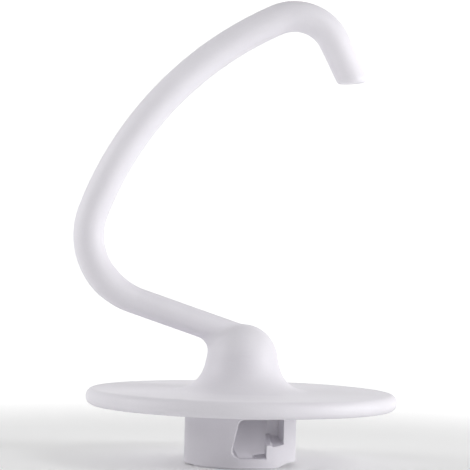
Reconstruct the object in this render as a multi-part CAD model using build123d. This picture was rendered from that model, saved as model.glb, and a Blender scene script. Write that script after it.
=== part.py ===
from build123d import *
import os
from math import cos, radians, sin, tan

# Dough hook for a stand mixer: collar, guard disc, neck and hook in one casting.
# The origin is on the shaft axis at the collar's rim, +Z points up to the hook, sizes are in mm.
# The hook lies in the XZ plane, and the pin window faces -Y.

# Collar
collar_d = 38.6
collar_h = 19.85
rim_edge = 0.7
collar_root = 1.3

# Cuts across the rim: a ramp and a flat on the right, a flat on the left
rim_ramp_x = 11.5
rim_right_x = 16.2
rim_right_h = 1.8
rim_left_x = 15.4
rim_left_h = 0.5

# Blind bore for the drive shaft
bore_d = 19.3
bore_depth = 34.0
bore_mouth = 0.7

# Entry channel for the shaft's cross pin, beside the bore and open at the rim
pin_d = 4.8
pin_clearance = 1.0
channel_reach = 16.4
channel_angle = 9.0

# Pin window, drawn on the plane that touches the front of the collar
window_bottom = 3.7
window_top = 16.8
window_left_low = -3.3
window_left_high = -0.4
window_low_r = 2.7
window_high_r = 2.5
window_draft = 2.0
window_edge = 0.4
step_x = 9.0
seat_right = 16.2
seat_z = 6.8
seat_draft = 12.0
bump_w = 1.4
bump_h = 0.8
pocket_depth = 15.8

# Guard disc, with a full rounded edge
disc_d = 107.6
disc_t = 5.6
disc_edge_w = 2.4

# Neck: a flared foot, a tapered side and a domed top
neck_h = 22.95
dome_r = 12.3
neck_draft = 9.9
flare_reach = 10.5

# Hook rod, from the neck, below the dome's top, to the cut tip
arm_d = 9.4
rod_d = 10.8
tip_d = 10.0
arm_drop = 5.05
arm_rise = 18.1
arm_length = 38.8
armpit_r = 4.8
elbow_r = 26.6
elbow_angle = 28.3
bow_r = 23.05
bow_angle = 63.2
side_r = 119.0
side_angle = 45.5
crown_r = 15.4
crown_angle = 89.2
tip_length = 15.65
tip_slope = 4.5
tip_edge_r = 1.6

disc_bottom = collar_h
disc_top = collar_h + disc_t
collar_r = collar_d / 2
disc_r = disc_d / 2
bore_r = bore_d / 2
upward = (Align.CENTER, Align.CENTER, Align.MIN)


def corner(face, x, y):
    return face.vertices().sort_by_distance((x, y))[0]


# Collar and disc, turned about the shaft axis
disc_flat_r = disc_r - disc_edge_w
base_points = [
    (disc_flat_r, disc_top),
    (0, disc_top),
    (0, 0),
    (collar_r - rim_edge, 0),
    (collar_r, rim_edge),
    (collar_r, disc_bottom - collar_root),
    (collar_r + collar_root, disc_bottom),
    (disc_flat_r, disc_bottom),
]
edge_centre = (disc_flat_r, disc_bottom + disc_t / 2)
disc_edge = EllipticalCenterArc(edge_centre, disc_edge_w, disc_t / 2, start_angle=-90, arc_size=180)
base = make_face([Polyline(base_points), disc_edge])
hook = revolve(Plane.YZ * base, Axis.Z)

# Pin window: a straight pull from the front, narrowing with its drafts down to the pocket's floor


def window_outline(depth):
    inset = depth * tan(radians(window_draft))
    seat_inset = depth * tan(radians(seat_draft))
    left_low = window_left_low + inset
    left_high = window_left_high + inset
    bottom = window_bottom + inset
    seat = seat_z + seat_inset
    step = step_x - inset
    right = seat_right - seat_inset
    points = [
        (left_low, bottom),
        (step, bottom),
        (step, seat + bump_h),
        (step + bump_w, seat + bump_h),
        (step + bump_w + bump_h, seat),
        (right, seat),
        (right, window_top),
        (left_high, window_top),
    ]
    outline = make_face(Polyline(points, close=True))
    outline = fillet(corner(outline, left_low, bottom), window_low_r)
    outline = fillet(corner(outline, left_high, window_top), window_high_r)
    return Plane((0, depth - collar_r, 0), x_dir=(1, 0, 0), z_dir=(0, -1, 0)) * outline


hook -= loft([window_outline(-collar_root), window_outline(pocket_depth)], ruled=True)
window_side = hook.edges().sort_by_distance((window_left_low, -collar_r, seat_z))[0]
hook = chamfer(window_side, window_edge)

# Neck, turned: the flare runs out level onto the disc, and the dome meets the tapered side
draft_cos = cos(radians(neck_draft))
draft_sin = sin(radians(neck_draft))
dome_top = disc_top + neck_h
dome_z = dome_top - dome_r
dome_edge = Vector(dome_r * draft_cos, dome_z + dome_r * draft_sin)
flare_corner = Vector(dome_edge.X + (dome_edge.Y - disc_top) * draft_sin / draft_cos, disc_top)
flare_edge = flare_corner + Vector(-draft_sin, draft_cos) * flare_reach
foot = flare_corner + Vector(flare_reach, 0)
neck_lines = [
    Polyline((0, dome_top), (0, disc_bottom), (foot.X, disc_bottom), foot),
    Bezier(foot, flare_corner, flare_edge),
    Line(flare_edge, dome_edge),
    RadiusArc(dome_edge, (0, dome_top), -dome_r),
]
hook += revolve(Plane.YZ * make_face(neck_lines), Axis.Z)

# Centre line of the rod in the XZ plane
arm_root = Vector(0, dome_top - arm_drop)
arm_line = Line(arm_root, arm_root + Vector(-arm_length, 0).rotate(Axis.Z, -arm_rise))
elbow_line = JernArc(arm_line @ 1, arm_line % 1, elbow_r, -elbow_angle)
bow_line = JernArc(elbow_line @ 1, elbow_line % 1, bow_r, -bow_angle)
side_line = JernArc(bow_line @ 1, bow_line % 1, side_r, -side_angle)
crown_line = JernArc(side_line @ 1, side_line % 1, crown_r, -crown_angle)
tip_way = crown_line % 1
tip_centre = crown_line @ 1 + tip_way * tip_length
tip_line = Line(crown_line @ 1, tip_centre + tip_way * (tip_d / 2))


def rod_section(path, at, diameter):
    return Plane(path @ at, x_dir=(0, 1, 0), z_dir=path % at) * Circle(diameter / 2)


def rod(line, start_d, end_d):
    path = Plane.XZ * line
    if start_d == end_d:
        return sweep(rod_section(path, 0, start_d), path=path)
    return sweep([rod_section(path, 0, start_d), rod_section(path, 1, end_d)], path=path, multisection=True)


# Arm, blended into the neck's dome
neck_edges = hook.edges()
hook += rod(arm_line, arm_d, arm_d)
armpit = (hook.edges() - neck_edges).filter_by(GeomType.BSPLINE)
hook = fillet(armpit, armpit_r)

# Elbow, bow, side and crown, and the tip with its end cut nearly level
tip_normal = Vector(-sin(radians(tip_slope)), 0, cos(radians(tip_slope)))
tip_plane = Plane((tip_centre.X, 0, tip_centre.Y), z_dir=tip_normal)
tip = split(rod(tip_line, rod_d, tip_d), tip_plane, keep=Keep.TOP)
tip_end = tip.faces().sort_by_distance(tip_plane.origin)[0]
tip = fillet(tip_end.edges(), tip_edge_r)
hook += rod(elbow_line, arm_d, rod_d)
for bend in (bow_line, side_line, crown_line):
    hook += rod(bend, rod_d, rod_d)
hook += tip

# Entry channel, turned towards the right of the window
channel_w = pin_d + pin_clearance
channel = Box(channel_w, channel_reach, window_top, align=(Align.CENTER, Align.MAX, Align.MIN))
hook -= Rot(0, 0, channel_angle) * channel

# Bore with its chamfered mouth
hook -= Cylinder(bore_r, bore_depth, align=upward)
hook -= Cone(bore_r + bore_mouth, bore_r, bore_mouth, align=upward)

# Cuts across the rim
right_points = [(rim_ramp_x, 0), (rim_right_x, rim_right_h), (collar_r, rim_right_h), (collar_r, 0)]
left_points = [(-rim_left_x, 0), (-rim_left_x, rim_left_h), (-collar_r, rim_left_h), (-collar_r, 0)]
for points in (right_points, left_points):
    hook -= extrude(Plane.XZ * make_face(Polyline(points, close=True)), collar_r, both=True)

os.makedirs("parts", exist_ok=True)
export_step(hook, "parts/dough_hook.step")
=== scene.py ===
import math
import bpy
import bmesh
from mathutils import Matrix, Vector

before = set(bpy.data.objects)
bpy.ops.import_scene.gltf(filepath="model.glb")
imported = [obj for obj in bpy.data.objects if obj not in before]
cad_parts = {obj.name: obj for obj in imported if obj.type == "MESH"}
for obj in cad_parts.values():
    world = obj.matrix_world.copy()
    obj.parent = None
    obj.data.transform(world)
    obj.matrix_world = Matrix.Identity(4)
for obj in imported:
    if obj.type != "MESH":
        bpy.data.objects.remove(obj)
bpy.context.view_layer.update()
scene = bpy.context.scene
scene.view_settings.view_transform = "Standard"  # plain tones, as a product shot has
print("frame loaded:", ", ".join(sorted(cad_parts)))


class Wire:  # a shader socket that takes part in sums
    def __init__(self, tree, socket=None):
        self.tree = tree
        self.socket = socket

    def node(self, kind, settings=None, **sockets):  # any node: settings first, then values or links
        made = self.tree.nodes.new(kind)
        for name, value in (settings or {}).items():
            if name == "stops":
                for stop, (place, tone) in zip(made.color_ramp.elements, value):
                    stop.position = place
                    stop.color = (tone, tone, tone, 1)
            else:
                setattr(made, name, value)
        for name, value in sockets.items():
            key = int(name[1:]) if name[1:].isdigit() else name.replace("_", " ")  # i6 is socket number 6
            if isinstance(value, Wire):
                self.tree.links.new(value.socket, made.inputs[key])
            else:
                made.inputs[key].default_value = value
        return made

    def out(self, made, name=0):
        return Wire(self.tree, made.outputs[name])

    def sum(self, operation, first, second):
        return self.out(self.node("ShaderNodeMath", {"operation": operation}, i0=first, i1=second))

    def __add__(self, other):
        return self.sum("ADD", self, other)

    def __radd__(self, other):
        return self.sum("ADD", other, self)

    def __sub__(self, other):
        return self.sum("SUBTRACT", self, other)

    def __rsub__(self, other):
        return self.sum("SUBTRACT", other, self)

    def __mul__(self, other):
        return self.sum("MULTIPLY", self, other)

    def __rmul__(self, other):
        return self.sum("MULTIPLY", other, self)


def startMaterial(name):  # an empty material, its wire and its Object coordinates
    material = bpy.data.materials.new(name)
    material.use_nodes = True
    material.node_tree.nodes.clear()
    wire = Wire(material.node_tree)
    return material, wire, wire.out(wire.node("ShaderNodeTexCoord"), "Object")


# white coating over the casting
coating = {
    "white": (0.816, 0.797, 0.843, 1),
    "shade": (0.781, 0.762, 0.808, 1),
    "cloud": (45.0, 3),  # noise scale per metre, and detail
    "speck": (1400.0, 2),
    "peel": (520.0, 2),
    "swell": (70.0, 1),
    "cloudShare": 0.7,  # of the mottle, the rest is speck
    "shadeAt": 0.35,  # mottle that is all shade, and all white
    "whiteAt": 0.68,
    "roughness": 0.50,
    "speckRoughness": 0.10,
    "cloudRoughness": 0.08,
    "peelHeight": 0.000010,
    "swellHeight": 0.00006,
    "ior": 1.46,
}


def makeCoating():
    material, wire, place = startMaterial("whiteCoating")

    def noise(name):
        scale, detail = coating[name]
        return wire.out(wire.node("ShaderNodeTexNoise", Vector=place, Scale=scale, Detail=detail))

    def bump(height, distance, **sockets):
        made = wire.node("ShaderNodeBump", Strength=1.0, Distance=distance, Height=height, **sockets)
        return wire.out(made)

    cloud = noise("cloud")  # slow drift in the coat's tone
    speck = noise("speck")  # fine grain of the powder
    peel = noise("peel")  # orange peel
    swell = noise("swell")  # the casting's own gentle waves
    mottle = cloud * coating["cloudShare"] + speck * (1 - coating["cloudShare"])
    stops = ((coating["shadeAt"], 0.0), (coating["whiteAt"], 1.0))
    tone = wire.node("ShaderNodeValToRGB", {"stops": stops}, Fac=mottle)
    colour = wire.node(
        "ShaderNodeMix", {"data_type": "RGBA"},
        Factor=wire.out(tone), i6=coating["shade"], i7=coating["white"],
    )
    grain = (speck - 0.5) * coating["speckRoughness"]
    drift = (cloud - 0.5) * coating["cloudRoughness"]
    wavy = bump(swell, coating["swellHeight"])
    peeled = bump(peel, coating["peelHeight"], Normal=wavy)
    surface = wire.node(
        "ShaderNodeBsdfPrincipled",
        Base_Color=wire.out(colour, 2), Roughness=coating["roughness"] + grain + drift,
        Normal=peeled, IOR=coating["ior"],
    )
    wire.node("ShaderNodeOutputMaterial", Surface=wire.out(surface))
    return material


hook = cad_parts["dough_hook"]
hookCoat = makeCoating()
for slot in hook.material_slots:
    slot.material = hookCoat
print("coating on", hook.name, len(hook.data.polygons), "faces")

# floor and backdrop, one sheet that curves up behind
stage = {
    "halfWidth": 2.6,
    "front": -1.6,
    "back": 1.5,
    "height": 2.4,
    "bend": 0.5,
    "bendSteps": 16,
    "tone": (0.92, 0.92, 0.92, 1),
    "roughness": 0.9,
    "glowNear": 0.045,  # painted glow: the sheet glows as a fill light from below, faintly near the hook, most of all away from it
    "glow": 0.46,
    "glowStart": 0.12,
    "glowEnd": 0.36,
    "far": 0.10,  # painted glow: a little more where the soft boxes no longer reach it
    "farStart": 0.5,
    "farEnd": 0.9,
    "boreGlow": 0.62,  # and a small painted glowing round under the collar's bore, which lights the bore's inside
    "boreGlowStart": 0.009,
    "boreGlowEnd": 0.011,
}


def makePaper():
    material, wire, place = startMaterial("glowingPaper")
    away = wire.out(wire.node("ShaderNodeVectorMath", {"operation": "LENGTH"}, Vector=place), "Value")

    def fade(start, end, low, high):
        made = wire.node(
            "ShaderNodeMapRange", {"interpolation_type": "SMOOTHSTEP"}, Value=away,
            From_Min=start, From_Max=end, To_Min=low, To_Max=high,
        )
        return wire.out(made)

    # painted glow on the sheet, standing in for fill light from the floor
    sheet = fade(stage["glowStart"], stage["glowEnd"], stage["glowNear"], stage["glow"])
    far = fade(stage["farStart"], stage["farEnd"], 0.0, stage["far"])
    # painted light: a glowing round under the collar's bore lights its inside through the window
    boreGlow = fade(stage["boreGlowStart"], stage["boreGlowEnd"], stage["boreGlow"], 0.0)
    surface = wire.node(
        "ShaderNodeBsdfPrincipled",
        Base_Color=stage["tone"], Roughness=stage["roughness"],
        Emission_Color=sheet + far + boreGlow, Emission_Strength=1.0,
    )
    wire.node("ShaderNodeOutputMaterial", Surface=wire.out(surface))
    return material


def makeStage():
    mesh = bmesh.new()
    start = [mesh.verts.new((side * stage["halfWidth"], stage["front"], 0)) for side in (-1, 1)]
    edge = mesh.edges.new(start)
    flat = bmesh.ops.extrude_edge_only(mesh, edges=[edge])["geom"]
    flatVerts = [g for g in flat if isinstance(g, bmesh.types.BMVert)]
    bmesh.ops.translate(mesh, verts=flatVerts, vec=(0, stage["back"] - stage["front"], 0))
    flatEdges = [g for g in flat if isinstance(g, bmesh.types.BMEdge)]
    rim = [e for e in flatEdges if all(v in flatVerts for v in e.verts)]
    turn = bmesh.ops.spin(
        mesh, geom=flatVerts + rim, cent=(0, stage["back"], stage["bend"]), axis=(1, 0, 0),
        angle=math.radians(90), steps=stage["bendSteps"], use_merge=False, use_duplicate=False,
        dvec=(0, 0, 0), space=Matrix(),
    )["geom_last"]
    topEdges = [g for g in turn if isinstance(g, bmesh.types.BMEdge)]
    wall = bmesh.ops.extrude_edge_only(mesh, edges=topEdges)["geom"]
    wallVerts = [g for g in wall if isinstance(g, bmesh.types.BMVert)]
    bmesh.ops.translate(mesh, verts=wallVerts, vec=(0, 0, stage["height"] - stage["bend"]))
    bmesh.ops.recalc_face_normals(mesh, faces=mesh.faces)
    for face in mesh.faces:
        face.smooth = True
    data = bpy.data.meshes.new("paperSweep")
    mesh.to_mesh(data)
    mesh.free()
    sweep = bpy.data.objects.new("paperSweep", data)
    scene.collection.objects.link(sweep)
    data.materials.append(makePaper())


makeStage()
print("paper sweep laid")

# soft boxes, each aimed at the hook: turn is from the camera's side to the right, rise is from the floor
softboxes = {
    "key": {"turn": 46, "rise": 40, "far": 0.8, "size": (0.3, 0.3), "power": 1.15},
    "right": {"turn": 80, "rise": 9, "far": 0.8, "size": (0.36, 0.36), "power": 3.1},
    "left": {"turn": 272, "rise": 22, "far": 0.8, "size": (0.45, 0.45), "power": 2.2},
}
studio = {
    "aim": (0, 0, 0.08),
    "roomColour": (1, 1, 1, 1),
    "roomLight": 0.36,
}
for name, box in softboxes.items():
    turn, rise = math.radians(box["turn"]), math.radians(box["rise"])
    ray = Vector((math.sin(turn) * math.cos(rise), -math.cos(turn) * math.cos(rise), math.sin(rise)))
    lamp = bpy.data.lights.new(name + "Softbox", "AREA")
    lamp.shape = "RECTANGLE"
    lamp.size, lamp.size_y = box["size"]
    lamp.energy = box["power"]
    lampObject = bpy.data.objects.new(lamp.name, lamp)
    lampObject.location = Vector(studio["aim"]) + box["far"] * ray
    lampObject.rotation_euler = (-ray).to_track_quat("-Z", "Y").to_euler()
    scene.collection.objects.link(lampObject)
room = bpy.data.worlds.new("room")
room.use_nodes = True
roomInputs = room.node_tree.nodes["Background"].inputs
roomInputs["Color"].default_value = studio["roomColour"]
roomInputs["Strength"].default_value = studio["roomLight"]
scene.world = room
print("soft boxes set:", len(softboxes))

# camera, level with the hook's middle and rolled a little
lens = {
    "place": (-0.00353, -0.6582, 0.0722),
    "look": (-0.00353, 0.0, 0.0791),
    "focal": 145.53,
    "sensor": 36.0,
    "roll": 1.43,
    "clipNear": 0.01,
    "clipFar": 20.0,
}
camera = bpy.data.cameras.new("studioCamera")
camera.lens = lens["focal"]
camera.sensor_width = lens["sensor"]
camera.clip_start = lens["clipNear"]
camera.clip_end = lens["clipFar"]
cameraObject = bpy.data.objects.new("studioCamera", camera)
gaze = (Vector(lens["look"]) - Vector(lens["place"])).to_track_quat("-Z", "Y").to_matrix()
rolled = gaze @ Matrix.Rotation(math.radians(lens["roll"]), 3, "Z")
cameraObject.matrix_world = Matrix.Translation(lens["place"]) @ rolled.to_4x4()
scene.collection.objects.link(cameraObject)
scene.camera = cameraObject
print("camera placed")
